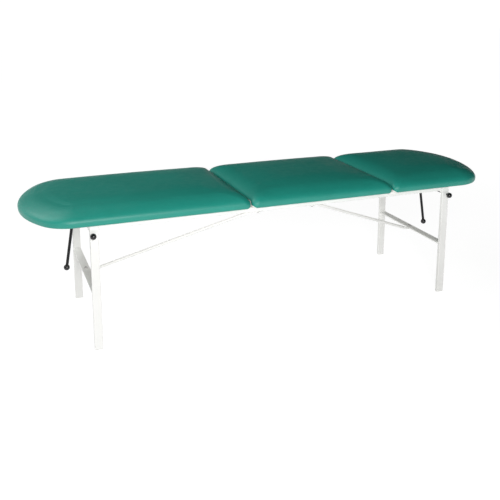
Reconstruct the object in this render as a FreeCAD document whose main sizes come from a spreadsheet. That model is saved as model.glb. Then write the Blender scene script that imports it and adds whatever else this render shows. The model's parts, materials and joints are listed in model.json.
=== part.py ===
import FreeCAD, Part
import Sketcher
import math
import os
import re

# Examination table: a welded tube frame that carries three upholstered boards. The middle one is
# fixed. The long foot section and the short head section tilt up on hinges in the seams, and a strut
# under each slides through a clamp on the frame.
# X runs along the table towards the head, Y away from the near side, Z up from the floor.

doc = FreeCAD.newDocument("ExaminationTable")
sheet = doc.addObject("Spreadsheet::Sheet", "Sizes")

DRIVING = {
    # sections, measured along the table
    "foot_length": 807,
    "middle_length": 594,
    "head_length": 497,
    "seam_gap": 8,
    "pad_width": 550,
    "pad_thickness": 64,
    "end_radius": 400,
    "end_corner": 130,
    "seam_corner": 20,
    # boards and cushions
    "board_thickness": 18,
    "board_inset": 12,
    "ring_corner": 8,
    "recess_gap": 0.3,
    "seam_relief": 1,
    "belly_height": 15,
    "tuck": 9,
    "side_roll": 100,
    "seam_roll": 90,
    "crown": 3,
    "crown_width": 190,
    "crown_corner": 60,
    # frame
    "frame_length": 1474,
    "pad_overhang": 28,
    "frame_height": 466,
    "tube_wall": 1.5,
    "tube_round": 2.5,
    "leg_width": 30,
    "leg_depth": 15,
    "rail_height": 20,
    "rail_depth": 15,
    "end_tube_height": 30,
    "strip_level": 211,
    "strip_thickness": 5,
    "cap_flange": 3,
    "cap_plug": 18,
    "cap_gap": 0.1,
    "plug_sink": 0.5,
    # braces
    "brace_diameter": 12,
    "brace_rail_x": 112,
    "tab_width": 18,
    "tab_thickness": 3,
    "tab_neck": 25,
    # bolts and screws
    "bolt_diameter": 6,
    "bolt_head": 10,
    "bolt_head_height": 4,
    "bolt_tail": 2,
    "nut_height": 5,
    "hole_gap": 0.3,
    "thread_gap": 0.05,
    "rail_screw_diameter": 5,
    "rail_screw_head": 9,
    "rail_screw_bite": 13,
    "rail_screw_inset": 45,
    "wood_screw_diameter": 3.5,
    "wood_screw_head": 6.5,
    "wood_screw_head_height": 1.6,
    "wood_screw_bite": 13,
    # seam hinges
    "hinge_inset": 45,
    "hinge_knuckles": 9,
    "hinge_pin_diameter": 5,
    "leaf_thickness": 1.5,
    "leaf_drop": 16,
    "leaf_screws": 6,
    "knuckle_gap": 0.3,
    "run_gap": 0.05,
    # struts
    "strut_stand_off": 19,
    "strut_drop": 14,
    "strut_lean": 9.4,
    "strut_length": 225,
    "strut_diameter": 11,
    "strut_ball": 23,
    "eye_diameter": 15,
    "eye_width": 10,
    "pivot_diameter": 6,
    "pivot_head": 9,
    "pivot_head_height": 2,
    "bracket_plate": 3,
    "bracket_length": 34,
    "bracket_width": 46,
    "ear_thickness": 3,
    "ear_width": 16,
    "side_gap": 0.3,
    # clamps
    "strap_thickness": 4,
    "strap_height": 16,
    "slot_reach": 19,
    "clamp_offset": 6,
    "clamp_diameter": 8,
    "clamp_margin": 11,
    "clamp_collar": 15,
    "collar_height": 4,
    "clamp_tail": 3,
    "knob_diameter": 23,
    "knob_stand": 5,
}

# Places worked out from the sizes above.
DERIVED = {
    "table_length": "foot_length + middle_length + head_length + 2 * seam_gap",
    "foot_seam": "foot_length + seam_gap / 2 - table_length / 2",
    "head_seam": "table_length / 2 - head_length - seam_gap / 2",
    "board_top": "frame_height + board_thickness",
    "board_corner": "seam_corner - board_inset",
    "hinge_length": "pad_width - 2 * hinge_inset",
    "hinge_radius": "seam_gap / 2",
    "frame_width": "pad_width - 2 * pad_overhang",
    "leg_x": "frame_length / 2 - leg_width / 2",
    "leg_y": "frame_width / 2 - leg_depth / 2",
    "rail_y": "frame_width / 2 - rail_depth / 2",
    "rail_bottom": "frame_height - rail_height",
    "tube_bottom": "frame_height - end_tube_height",
    "inner_length": "frame_length - 2 * leg_width",
    "inner_width": "frame_width - 2 * leg_depth",
    "bore_round": "tube_round - tube_wall",
    "plug_shrink": "2 * tube_wall + 2 * cap_gap",
    "strut_x": "frame_length / 2 + strut_stand_off",
    "strut_z": "frame_height - strut_drop",
    "slot_end_x": "strut_x + slot_reach",
    "slot_width": "strut_diameter + 2 * side_gap",
    "strap_z": "tube_bottom - strap_height / 2",
    "jaw_y": "slot_width / 2 + strap_thickness",
    "clamp_x": "leg_x + clamp_offset",
    "clamp_start": "clamp_x - clamp_margin",
    "ear_y": "eye_width / 2 + side_gap + ear_thickness / 2",
    "knob_y": "frame_width / 2 + knob_stand + knob_diameter / 2",
}

ALIASES = set(DRIVING) | set(DERIVED)
ENDS = {"foot": -1, "head": 1}
SIDES = {"near": -1, "far": 1}
TUCK_STEPS = 4
ROLL_STEPS = 8
CROWN_STEPS = 3


def bound(formula):
    return re.sub(r"[a-z_]+", lambda word: qualified(word.group()), formula)


def qualified(word):
    return "Sizes." + word if word in ALIASES else word


def size(alias):
    return float(sheet.get(alias))


for row, (alias, value) in enumerate(DRIVING.items(), start=1):
    sheet.set(f"A{row}", alias)
    sheet.set(f"B{row}", str(value))
    sheet.setAlias(f"B{row}", alias)
for row, (alias, formula) in enumerate(DERIVED.items(), start=1):
    sheet.set(f"D{row}", alias)
    sheet.set(f"E{row}", "=" + formula)
    sheet.setAlias(f"E{row}", alias)
doc.recompute()

nodes = []


def node(shape, label):
    shape.Label = label
    nodes.append(shape)
    return shape


# Solids placed by formulas.

def at(solid, x, y, z):
    for axis, place in zip("xyz", (x, y, z)):
        solid.setExpression("Placement.Base." + axis, bound(place))
    return solid


def block(name, middle, extent):
    solid = doc.addObject("Part::Box", name)
    for side, length in zip(("Length", "Width", "Height"), extent):
        solid.setExpression(side, bound(length))
    return at(solid, *[f"({m}) - ({e}) / 2" for m, e in zip(middle, extent)])


TURNS = {
    "+x": FreeCAD.Rotation(FreeCAD.Vector(0, 1, 0), 90),
    "-x": FreeCAD.Rotation(FreeCAD.Vector(0, 1, 0), -90),
    "+y": FreeCAD.Rotation(FreeCAD.Vector(1, 0, 0), -90),
    "-y": FreeCAD.Rotation(FreeCAD.Vector(1, 0, 0), 90),
    "+z": FreeCAD.Rotation(),
    "-z": FreeCAD.Rotation(FreeCAD.Vector(1, 0, 0), 180),
}


def rod(name, start, way, diameter, length):
    solid = doc.addObject("Part::Cylinder", name)
    solid.Placement = FreeCAD.Placement(FreeCAD.Vector(), TURNS[way])
    solid.setExpression("Radius", bound(f"({diameter}) / 2"))
    solid.setExpression("Height", bound(length))
    return at(solid, *start)


def ball(name, middle, diameter):
    solid = doc.addObject("Part::Sphere", name)
    solid.setExpression("Radius", bound(f"({diameter}) / 2"))
    return at(solid, *middle)


def hexagon(name, start, way, across, height):
    solid = doc.addObject("Part::Prism", name)
    solid.Placement = FreeCAD.Placement(FreeCAD.Vector(), TURNS[way])
    solid.Polygon = 6
    solid.setExpression("Circumradius", bound(f"({across}) / sqrt(3)"))
    solid.setExpression("Height", bound(height))
    return at(solid, *start)


def fused(name, solids):
    whole = doc.addObject("Part::MultiFuse", name)
    whole.Shapes = solids
    whole.Refine = True
    return whole


def cut(name, base, tools):
    for index, tool in enumerate(tools):
        rest = doc.addObject("Part::Cut", f"{name}_{index}")
        rest.Base = base
        rest.Tool = tool
        base = rest
    return base


def group(name, solids):
    whole = doc.addObject("Part::Compound", name)
    whole.Links = solids
    return whole


# Welded frame.

def rounded(solid, run, radius):
    solid.recompute()
    edges = []
    for index, edge in enumerate(solid.Shape.Edges, start=1):
        if abs(getattr(edge.tangentAt(edge.FirstParameter), run)) > 0.5:
            edges.append((index, radius, radius))
    rounding = doc.addObject("Part::Fillet", solid.Name + "_rounded")
    rounding.Base = solid
    rounding.Edges = edges
    return rounding


def tube(name, middle, extent, run):
    hollow = [e if axis == run else f"{e} - 2 * tube_wall" for axis, e in zip("xyz", extent)]
    outside = rounded(block(name + "_outside", middle, extent), run, size("tube_round"))
    inside = rounded(block(name + "_inside", middle, hollow), run, size("bore_round"))
    return cut(name, outside, [inside])


def make_rails():
    extent = ("inner_length", "rail_depth", "rail_height")
    for side, y in SIDES.items():
        name = "rail_" + side
        rail = tube(name, ("0", f"{y} * rail_y", "frame_height - rail_height / 2"), extent, "x")
        holes = [
            rod(f"{name}_screw_hole", (x, f"{y} * rail_y", "rail_bottom"), "+z",
                "rail_screw_diameter + 2 * hole_gap", "rail_height")
            for x in rail_screw_places()
        ]
        if side == "near":
            holes += [
                rod(f"{name}_bolt_hole", (f"{x} * brace_rail_x", f"{y} * rail_y", "rail_bottom"), "+z",
                    "bolt_diameter + 2 * hole_gap", "tube_wall")
                for x in ENDS.values()
            ]
        node(cut(name + "_drilled", rail, holes), name)


def rail_screw_places():
    inset = "(seam_gap / 2 + rail_screw_inset)"
    return (f"foot_seam + {inset}", f"head_seam - {inset}")


def make_legs():
    for end, x in ENDS.items():
        for side, y in SIDES.items():
            name = f"leg_{end}_{side}"
            middle = (f"{x} * leg_x", f"{y} * leg_y", "(frame_height + cap_flange) / 2")
            leg = tube(name, middle, ("leg_width", "leg_depth", "frame_height - cap_flange"), "z")
            if side == "near":
                hole = rod(name + "_hole", (f"{x} * clamp_x", "-frame_width / 2", "strap_z"), "+y",
                           "clamp_diameter + 2 * hole_gap", "leg_depth")
                leg = cut(name + "_drilled", leg, [hole])
            node(leg, name)
            node(foot_cap(f"{end}_{side}", x, y), f"foot_cap_{end}_{side}")
            node(plug(f"top_plug_{end}_{side}", x, y, "frame_height - plug_sink - cap_plug / 2"),
                 f"leg_plug_{end}_{side}")


def plug(name, x, y, level):
    solid = block(name, (f"{x} * leg_x", f"{y} * leg_y", level),
                  ("leg_width - plug_shrink", "leg_depth - plug_shrink", "cap_plug"))
    return rounded(solid, "z", size("bore_round") - size("cap_gap"))


def foot_cap(name, x, y):
    flange = block("cap_flange_" + name, (f"{x} * leg_x", f"{y} * leg_y", "cap_flange / 2"),
                   ("leg_width", "leg_depth", "cap_flange"))
    flange = rounded(flange, "z", size("tube_round"))
    return fused("cap_" + name, [flange, plug("cap_plug_" + name, x, y, "cap_flange + cap_plug / 2")])


def make_cross_pieces():
    for end, x in ENDS.items():
        middle = (f"{x} * leg_x", "0", "tube_bottom + end_tube_height / 2")
        extent = ("leg_width", "inner_width", "end_tube_height")
        node(tube("end_tube_" + end, middle, extent, "y"), "end_tube_" + end)
        strip = block("strip_" + end, (f"{x} * leg_x", "0", "strip_level + strip_thickness / 2"),
                      ("leg_width", "inner_width", "strip_thickness"))
        hole = rod("strip_hole_" + end, (f"{x} * leg_x", "0", "strip_level"), "+z",
                   "bolt_diameter + 2 * hole_gap", "strip_thickness")
        node(cut("strip_drilled_" + end, strip, [hole]), "cross_strip_" + end)


# Oblique braces, round bar with both ends forged flat and bolted under the rail and the strip.

def brace_shape(reach, drop):
    half = size("tab_width") / 2
    thick = size("tab_thickness")
    radius = size("brace_diameter") / 2
    skew = math.atan2(size("rail_y"), size("leg_x") - size("brace_rail_x"))
    flat = (size("leg_width") / 2 + half * math.sin(skew)) / math.cos(skew) + thick
    top = FreeCAD.Vector(flat, 0, -thick / 2)
    bottom = FreeCAD.Vector(reach - flat, 0, -drop - thick / 2)
    along = (bottom - top).normalize()
    solids = []
    for pivot, bend, sense in ((FreeCAD.Vector(0, 0, -thick), top, 1),
                               (FreeCAD.Vector(reach, 0, -drop - thick), bottom, -1)):
        eye = Part.makeCylinder(half, thick, pivot)
        corner = FreeCAD.Vector(min(pivot.x, bend.x), -half, pivot.z)
        solids.append(eye.fuse(Part.makeBox(flat, 2 * half, thick, corner)))
        neck_end = bend + along * (sense * size("tab_neck"))
        solids.append(neck(bend, half, thick / 2, neck_end, along, radius))
    start = top + along * size("tab_neck")
    length = (bottom - top).Length - 2 * size("tab_neck")
    bar = Part.makeCylinder(radius, length, start, along)
    whole = bar.multiFuse(solids).removeSplitter()
    hole = size("bolt_diameter") / 2 + size("hole_gap")
    for pivot in (FreeCAD.Vector(0, 0, -thick), FreeCAD.Vector(reach, 0, -drop - thick)):
        whole = whole.cut(Part.makeCylinder(hole, thick, pivot))
    return whole


def neck(bend, half, rise, middle, along, radius):
    side = FreeCAD.Vector(0, 1, 0)
    up = along.cross(side)
    corners = [bend + FreeCAD.Vector(0, y * half, z * rise) for y, z in ((1, 1), (-1, 1), (-1, -1), (1, -1))]
    flat = Part.makePolygon(corners + corners[:1])

    def rim(angle):
        turn = math.radians(angle)
        lift = up if up.z > 0 else up * -1
        return middle + side * (radius * math.cos(turn)) + lift * (radius * math.sin(turn))

    arcs = [Part.Arc(rim(a), rim(a + 45), rim(a + 90)).toShape() for a in (45, 135, 225, 315)]
    return Part.makeLoft([flat, Part.Wire(arcs)], True, True)


def make_braces():
    run = FreeCAD.Vector(size("leg_x") - size("brace_rail_x"), size("rail_y"), 0)
    drop = size("rail_bottom") - size("strip_level")
    for end, x in ENDS.items():
        brace = doc.addObject("Part::Feature", "brace_bar_" + end)
        brace.Shape = brace_shape(run.Length, drop)
        turn = math.degrees(math.atan2(run.y, x * run.x))
        brace.Placement = FreeCAD.Placement(FreeCAD.Vector(), FreeCAD.Rotation(FreeCAD.Vector(0, 0, 1), turn))
        at(brace, f"{x} * brace_rail_x", "-rail_y", "rail_bottom")
        node(brace, "brace_" + end)


def make_brace_bolts():
    bolts = []
    nuts = []
    for x in ENDS.values():
        rail_place = (f"{x} * brace_rail_x", "-rail_y")
        strip_place = (f"{x} * leg_x", "0")
        for place, level, grip in ((rail_place, "rail_bottom", "tube_wall"),
                                   (strip_place, "strip_level", "strip_thickness")):
            under = f"{level} - tab_thickness"
            head = hexagon("bolt_head", (*place, f"{under} - bolt_head_height"), "+z",
                           "bolt_head", "bolt_head_height")
            shank = rod("bolt_shank", (*place, under), "+z", "bolt_diameter",
                        f"tab_thickness + {grip} + nut_height + bolt_tail")
            bolts.append(fused("bolt", [head, shank]))
            seat = f"{level} + {grip}"
            nut = hexagon("nut_outside", (*place, seat), "+z", "bolt_head", "nut_height")
            thread = rod("nut_thread", (*place, seat), "+z", "bolt_diameter + 2 * thread_gap", "nut_height")
            nuts.append(cut("nut", nut, [thread]))
    node(group("bolt_group", bolts), "brace_bolts")
    node(group("nut_group", nuts), "brace_nuts")


# Boards. Each outline is drawn as a sketch and padded upwards.

def sketch_arc(middle, radius, start, end):
    circle = Part.Circle(middle, FreeCAD.Vector(0, 0, 1), radius)
    return Part.ArcOfCircle(circle, math.radians(start), math.radians(end))


def board_body(name):
    body = doc.addObject("PartDesign::Body", name + "_body")
    sketch = body.newObject("Sketcher::SketchObject", name + "_outline")
    plane = [feature for feature in body.Origin.OriginFeatures if feature.Role == "XY_Plane"][0]
    sketch.AttachmentSupport = [(plane, "")]
    sketch.MapMode = "FlatFace"
    return body, sketch


def pad_board(body, sketch, name):
    pad = body.newObject("PartDesign::Pad", name + "_pad")
    pad.Profile = sketch
    pad.setExpression("Length", bound("board_thickness"))
    body.Tip = pad
    at(body, "0", "0", "frame_height")
    node(body, name)


def measured(sketch, constraint, formula):
    index = sketch.addConstraint(constraint)
    sketch.setExpression(f"Constraints[{index}]", bound(formula))


def joined_smoothly(sketch, count):
    for index in range(count):
        sketch.addConstraint(Sketcher.Constraint("Tangent", index, 2, (index + 1) % count, 1))


def make_end_board(end, x):
    name = f"{end}_board"
    body, sketch = board_body(name)
    half = size("pad_width") / 2 - size("board_inset")
    small = size("board_corner")
    large = size("end_corner") - size("board_inset")
    tip = size("end_radius") - size("board_inset")
    hub = size("table_length") / 2 - size("end_radius")
    seam = abs(size(end + "_seam")) + size("seam_gap") / 2
    turn_x = hub + math.sqrt((tip - large) ** 2 - (half - large) ** 2)
    spread = math.degrees(math.atan2(half - large, turn_x - hub))

    def place(u, v):
        return FreeCAD.Vector(u, v, 0)

    touch = place(hub + tip * math.cos(math.radians(spread)), tip * math.sin(math.radians(spread)))
    lower = place(touch.x, -touch.y)
    outline = [
        Part.LineSegment(place(seam, half - small), place(seam, small - half)),
        sketch_arc(place(seam + small, small - half), small, 180, 270),
        Part.LineSegment(place(seam + small, -half), place(turn_x, -half)),
        sketch_arc(place(turn_x, large - half), large, 270, 360 - spread),
        sketch_arc(place(hub, 0), tip, -spread, spread),
        sketch_arc(place(turn_x, half - large), large, spread, 90),
        Part.LineSegment(place(turn_x, half), place(seam + small, half)),
        sketch_arc(place(seam + small, half - small), small, 90, 180),
    ]
    sketch.addGeometry(outline, False)
    joined_smoothly(sketch, len(outline))
    sketch.addConstraint(Sketcher.Constraint("Vertical", 0))
    sketch.addConstraint(Sketcher.Constraint("Horizontal", 2))
    sketch.addConstraint(Sketcher.Constraint("Horizontal", 6))
    for corner in (1, 7):
        measured(sketch, Sketcher.Constraint("Radius", corner, small), "board_corner")
    for corner in (3, 5):
        measured(sketch, Sketcher.Constraint("Radius", corner, large), "end_corner - board_inset")
    measured(sketch, Sketcher.Constraint("Radius", 4, tip), "end_radius - board_inset")
    measured(sketch, Sketcher.Constraint("DistanceX", -1, 1, 4, 3, hub), "table_length / 2 - end_radius")
    sketch.addConstraint(Sketcher.Constraint("PointOnObject", 4, 3, -1))
    measured(sketch, Sketcher.Constraint("DistanceX", -1, 1, 0, 1, seam), f"abs({end}_seam) + seam_gap / 2")
    measured(sketch, Sketcher.Constraint("DistanceY", 2, 1, -1, 1, half), "pad_width / 2 - board_inset")
    measured(sketch, Sketcher.Constraint("DistanceY", -1, 1, 6, 1, half), "pad_width / 2 - board_inset")
    pad_board(body, sketch, name)
    if x < 0:
        body.Placement = FreeCAD.Placement(FreeCAD.Vector(), FreeCAD.Rotation(FreeCAD.Vector(0, 0, 1), 180))


def make_middle_board():
    name = "middle_board"
    body, sketch = board_body(name)
    half = size("pad_width") / 2 - size("board_inset")
    small = size("board_corner")
    left = size("foot_seam") + size("seam_gap") / 2
    right = size("head_seam") - size("seam_gap") / 2

    def place(u, v):
        return FreeCAD.Vector(u, v, 0)

    outline = [
        Part.LineSegment(place(left, half - small), place(left, small - half)),
        sketch_arc(place(left + small, small - half), small, 180, 270),
        Part.LineSegment(place(left + small, -half), place(right - small, -half)),
        sketch_arc(place(right - small, small - half), small, 270, 360),
        Part.LineSegment(place(right, small - half), place(right, half - small)),
        sketch_arc(place(right - small, half - small), small, 0, 90),
        Part.LineSegment(place(right - small, half), place(left + small, half)),
        sketch_arc(place(left + small, half - small), small, 90, 180),
    ]
    sketch.addGeometry(outline, False)
    joined_smoothly(sketch, len(outline))
    for line in (0, 4):
        sketch.addConstraint(Sketcher.Constraint("Vertical", line))
    for line in (2, 6):
        sketch.addConstraint(Sketcher.Constraint("Horizontal", line))
    for corner in (1, 3, 5, 7):
        measured(sketch, Sketcher.Constraint("Radius", corner, small), "board_corner")
    measured(sketch, Sketcher.Constraint("DistanceX", 0, 1, -1, 1, -left), "-foot_seam - seam_gap / 2")
    measured(sketch, Sketcher.Constraint("DistanceX", -1, 1, 4, 1, right), "head_seam - seam_gap / 2")
    measured(sketch, Sketcher.Constraint("DistanceY", 2, 1, -1, 1, half), "pad_width / 2 - board_inset")
    measured(sketch, Sketcher.Constraint("DistanceY", -1, 1, 6, 1, half), "pad_width / 2 - board_inset")
    pad_board(body, sketch, name)


# Cushions. Rings at rising levels follow the tucked lower edge, the belly, the rolled upper edge, which
# is longer in the seams, and the crown, and a loft runs through them. The board fills a recess underneath.
# A ring is its inset from the outer sides, its inset from the seam, its seam corners' radius and its level.

def cushion_rings():
    belly = size("belly_height")
    edge = size("pad_thickness") - size("crown")
    side_roll = size("side_roll")
    seam_roll = size("seam_roll")
    rings = []
    for step in range(TUCK_STEPS):
        turn = math.radians(90 * step / TUCK_STEPS)
        inset = size("tuck") * (1 - math.sin(turn))
        rings.append((inset, inset, size("seam_corner") - inset, belly * (1 - math.cos(turn))))
    for step in range(ROLL_STEPS + 1):
        turn = math.radians(90 * step / ROLL_STEPS)
        back = 1 - math.cos(turn)
        corner = size("seam_corner") + (size("crown_corner") - size("seam_corner")) * back
        rings.append((side_roll * back, seam_roll * back, corner, belly + (edge - belly) * math.sin(turn)))
    for step in range(1, CROWN_STEPS + 1):
        share = step / CROWN_STEPS
        side = side_roll + (size("crown_width") - side_roll) * share
        seam = seam_roll + (size("crown_width") - seam_roll) * share
        rings.append((side, seam, size("crown_corner"), edge + size("crown") * (1 - (1 - share) ** 2)))
    return rings


def chain(points):
    edges = []
    for shape in points:
        if len(shape) == 2:
            edges.append(Part.makeLine(*shape))
        else:
            edges.append(Part.Arc(*shape).toShape())
    return Part.Wire(edges)


def arc_points(middle, radius, start, end):
    turns = [math.radians(a) for a in (start, (start + end) / 2, end)]
    return [middle + FreeCAD.Vector(radius * math.cos(t), radius * math.sin(t), 0) for t in turns]


def end_ring(seam, side, gap, small, level):
    half = size("pad_width") / 2 - side
    large = max(size("end_corner") - side, size("ring_corner"))
    tip = size("end_radius") - side
    hub = size("table_length") / 2 - size("end_radius")
    near = seam + gap
    turn_x = hub + math.sqrt((tip - large) ** 2 - (half - large) ** 2)
    spread = math.degrees(math.atan2(half - large, turn_x - hub))

    def place(u, v):
        return FreeCAD.Vector(u, v, level)

    return chain([
        (place(near, half - small), place(near, small - half)),
        arc_points(place(near + small, small - half), small, 180, 270),
        (place(near + small, -half), place(turn_x, -half)),
        arc_points(place(turn_x, large - half), large, 270, 360 - spread),
        arc_points(place(hub, 0), tip, -spread, spread),
        arc_points(place(turn_x, half - large), large, spread, 90),
        (place(turn_x, half), place(near + small, half)),
        arc_points(place(near + small, half - small), small, 90, 180),
    ])


def middle_ring(left, right, side, gap, small, level):
    half = size("pad_width") / 2 - side
    low = left + gap
    high = right - gap

    def place(u, v):
        return FreeCAD.Vector(u, v, level)

    return chain([
        (place(low, half - small), place(low, small - half)),
        arc_points(place(low + small, small - half), small, 180, 270),
        (place(low + small, -half), place(high - small, -half)),
        arc_points(place(high - small, small - half), small, 270, 360),
        (place(high, small - half), place(high, half - small)),
        arc_points(place(high - small, half - small), small, 0, 90),
        (place(high - small, half), place(low + small, half)),
        arc_points(place(low + small, half - small), small, 90, 180),
    ])


def recess_for(board):
    grown = board.Tip.Shape.copy()
    gap = size("recess_gap")
    outline = grown.Faces[0]
    for face in grown.Faces:
        if face.normalAt(0, 0).z < -0.5:
            outline = face
    wider = outline.makeOffset2D(size("seam_relief") + gap)
    return wider.extrude(FreeCAD.Vector(0, 0, size("board_thickness")))


def make_cushion(name, rings, board):
    cushion = doc.addObject("Part::Feature", name + "_foam")
    cushion.Shape = Part.makeLoft(rings, True, True).cut(recess_for(board))
    cushion.Placement = board.Placement
    node(cushion, name)


def make_cushions():
    relief = size("seam_gap") / 2 + size("seam_relief")
    boards = {shape.Label: shape for shape in nodes if shape.Label.endswith("_board")}
    for end in ENDS:
        seam = abs(size(end + "_seam")) + relief
        rings = [end_ring(seam, *ring) for ring in cushion_rings()]
        make_cushion(end + "_cushion", rings, boards[end + "_board"])
    left = size("foot_seam") + relief
    right = size("head_seam") - relief
    rings = [middle_ring(left, right, *ring) for ring in cushion_rings()]
    make_cushion("middle_cushion", rings, boards["middle_board"])


# Fasteners.

def wood_screw(name, place, way, under):
    head = rod(name + "_head", place, way, "wood_screw_head", "wood_screw_head_height")
    shank = rod(name + "_shank", place, way, "wood_screw_diameter",
                f"wood_screw_head_height + {under} + wood_screw_bite")
    return fused(name, [head, shank])


def make_rail_screws():
    screws = []
    for y in SIDES.values():
        for x in rail_screw_places():
            head = rod("rail_screw_head", (x, f"{y} * rail_y", "rail_bottom"), "-z", "rail_screw_head",
                       "rail_screw_diameter / 2")
            shank = rod("rail_screw_shank", (x, f"{y} * rail_y", "rail_bottom"), "+z",
                        "rail_screw_diameter", "rail_height + rail_screw_bite")
            screws.append(fused("rail_screw", [head, shank]))
    node(group("rail_screw_group", screws), "rail_screws")


# Seam hinges, folded shut between the boards with the knuckles at the boards' upper faces.

def knuckle_rods(name, seam, odd, diameter, spare):
    count = int(size("hinge_knuckles"))
    pitch = "hinge_length / hinge_knuckles"
    rods = []
    for index in range(odd, count, 2):
        start = f"{index} * {pitch} - hinge_length / 2 - ({spare})"
        rods.append(rod(name, (seam, start, "board_top"), "+y", diameter, f"{pitch} + 2 * ({spare})"))
    return rods


def leaf_screw_places():
    count = int(size("leaf_screws"))
    return [f"hinge_length * ({index} + 0.5) / leaf_screws - hinge_length / 2" for index in range(count)]


def make_leaf(end, x, moving):
    seam = end + "_seam"
    away = x if moving else -x
    name = f"hinge_{'moving' if moving else 'fixed'}_{end}"
    face = f"{seam} + {away} * (seam_gap / 2 - leaf_thickness / 2)"
    plate = block(name + "_plate", (face, "0", "board_top - leaf_drop / 2"),
                  ("leaf_thickness", "hinge_length", "leaf_drop"))
    own = knuckle_rods(name + "_knuckle", seam, int(moving), "2 * hinge_radius", "-knuckle_gap / 2")
    room = knuckle_rods(name + "_room", seam, int(not moving), "2 * hinge_radius + 2 * knuckle_gap",
                        "knuckle_gap / 2")
    bore = rod(name + "_bore", (seam, "-hinge_length / 2", "board_top"), "+y",
               "hinge_pin_diameter + 2 * run_gap", "hinge_length")
    holes = [
        rod(name + "_hole", (f"{seam} + {away} * (seam_gap / 2 - leaf_thickness)", y, screw_level()),
            "+x" if away > 0 else "-x", "wood_screw_diameter + 2 * hole_gap", "leaf_thickness")
        for y in leaf_screw_places()
    ]
    leaf = cut(name + "_notched", plate, room)
    node(cut(name + "_bored", fused(name + "_whole", [leaf] + own), [bore] + holes), name)


def screw_level():
    return "frame_height + (board_thickness - hinge_radius) / 2"


def leaf_screws(name, end, away):
    start = f"{end}_seam + {away} * (seam_gap / 2 - leaf_thickness - wood_screw_head_height)"
    way = "+x" if away > 0 else "-x"
    return [wood_screw(name, (start, y, screw_level()), way, "leaf_thickness") for y in leaf_screw_places()]


def make_hinges():
    fixed_screws = []
    for end, x in ENDS.items():
        make_leaf(end, x, False)
        make_leaf(end, x, True)
        pin = rod("hinge_pin_rod_" + end, (end + "_seam", "-hinge_length / 2", "board_top"), "+y",
                  "hinge_pin_diameter", "hinge_length")
        node(pin, "hinge_pin_" + end)
        moving_screws = leaf_screws("leaf_screw_" + end, end, x)
        node(group("leaf_screw_group_" + end, moving_screws), "hinge_screws_" + end)
        fixed_screws += leaf_screws("fixed_leaf_screw_" + end, end, -x)
    node(group("leaf_screw_group_middle", fixed_screws), "hinge_screws_middle")


# Struts: a rod on a pivot under the board, with a ball at its lower end as the stop.

def make_bracket(end, x):
    name = "strut_bracket_" + end
    level = "frame_height - bracket_plate / 2"
    pieces = [block(name + "_plate", (f"{x} * strut_x", "0", level),
                    ("bracket_length", "bracket_width", "bracket_plate"))]
    for side in SIDES.values():
        ear = (f"{x} * strut_x", f"{side} * ear_y")
        pieces.append(block(name + "_ear", (*ear, "frame_height - strut_drop / 2"),
                            ("ear_width", "ear_thickness", "strut_drop")))
        inside = f"{side} * ear_y - ear_thickness / 2"
        pieces.append(rod(name + "_lobe", (f"{x} * strut_x", inside, "strut_z"), "+y", "ear_width",
                          "ear_thickness"))
    bore = rod(name + "_bore", (f"{x} * strut_x", "-bracket_width / 2", "strut_z"), "+y",
               "pivot_diameter + 2 * run_gap", "bracket_width")
    holes = [rod(name + "_hole", (u, v, "frame_height - bracket_plate"), "+z",
                 "wood_screw_diameter + 2 * hole_gap", "bracket_plate") for u, v in bracket_screw_places(x)]
    node(cut(name + "_bored", fused(name + "_whole", pieces), [bore] + holes), name)
    screws = [wood_screw(name + "_screw", (u, v, "frame_height - bracket_plate - wood_screw_head_height"),
                         "+z", "bracket_plate") for u, v in bracket_screw_places(x)]
    node(group(name + "_screw_group", screws), "bracket_screws_" + end)


def bracket_screw_places(x):
    along = "(bracket_length / 2 - wood_screw_head)"
    across = "(bracket_width / 2 - wood_screw_head)"
    return [(f"{x} * strut_x + {u} * {along}", f"{v} * {across}") for u in (-1, 1) for v in (-1, 1)]


def make_pivot(end, x):
    name = "strut_pivot_" + end
    outside = "ear_y + ear_thickness / 2"
    place = f"{x} * strut_x"
    shaft = rod(name + "_shaft", (place, f"-({outside})", "strut_z"), "+y", "pivot_diameter",
                f"2 * ({outside})")
    heads = [
        rod(name + "_head", (place, f"{side} * ({outside})", "strut_z"), "+y" if side > 0 else "-y",
            "pivot_head", "pivot_head_height")
        for side in SIDES.values()
    ]
    node(fused(name + "_riveted", [shaft] + heads), name)


def leaning(shape, x):
    turn = FreeCAD.Rotation(FreeCAD.Vector(0, -x, 0), size("strut_lean"))
    shape.Placement = FreeCAD.Placement(FreeCAD.Vector(), turn)
    return at(shape, f"{x} * strut_x", "0", "strut_z")


def make_strut(end, x):
    name = "strut_" + end
    bar = rod(name + "_bar", ("0", "0", "0"), "-z", "strut_diameter", "strut_length")
    eye = rod(name + "_eye", ("0", "-eye_width / 2", "0"), "+y", "eye_diameter", "eye_width")
    bore = rod(name + "_bore", ("0", "-eye_width", "0"), "+y", "pivot_diameter + 2 * run_gap",
               "2 * eye_width")
    trims = [
        block(name + "_cheek", ("0", f"{side} * (eye_width / 2 + strut_diameter / 2)", "0"),
              ("2 * eye_diameter", "strut_diameter", "ear_width + 4 * side_gap"))
        for side in SIDES.values()
    ]
    strut = cut(name + "_bored", fused(name + "_whole", [bar, eye]), trims + [bore])
    node(leaning(strut, x), "strut_rod_" + end)
    stop = ball(name + "_ball", ("0", "0", "-strut_length"), "strut_ball")
    seat = rod(name + "_seat", ("0", "0", "-strut_length"), "+z", "strut_diameter", "strut_ball")
    node(leaning(cut(name + "_stop", stop, [seat]), x), "strut_ball_" + end)


# Clamps: a strap bent round the strut under the end tube, pinched by a long screw with a ball knob.

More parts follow.
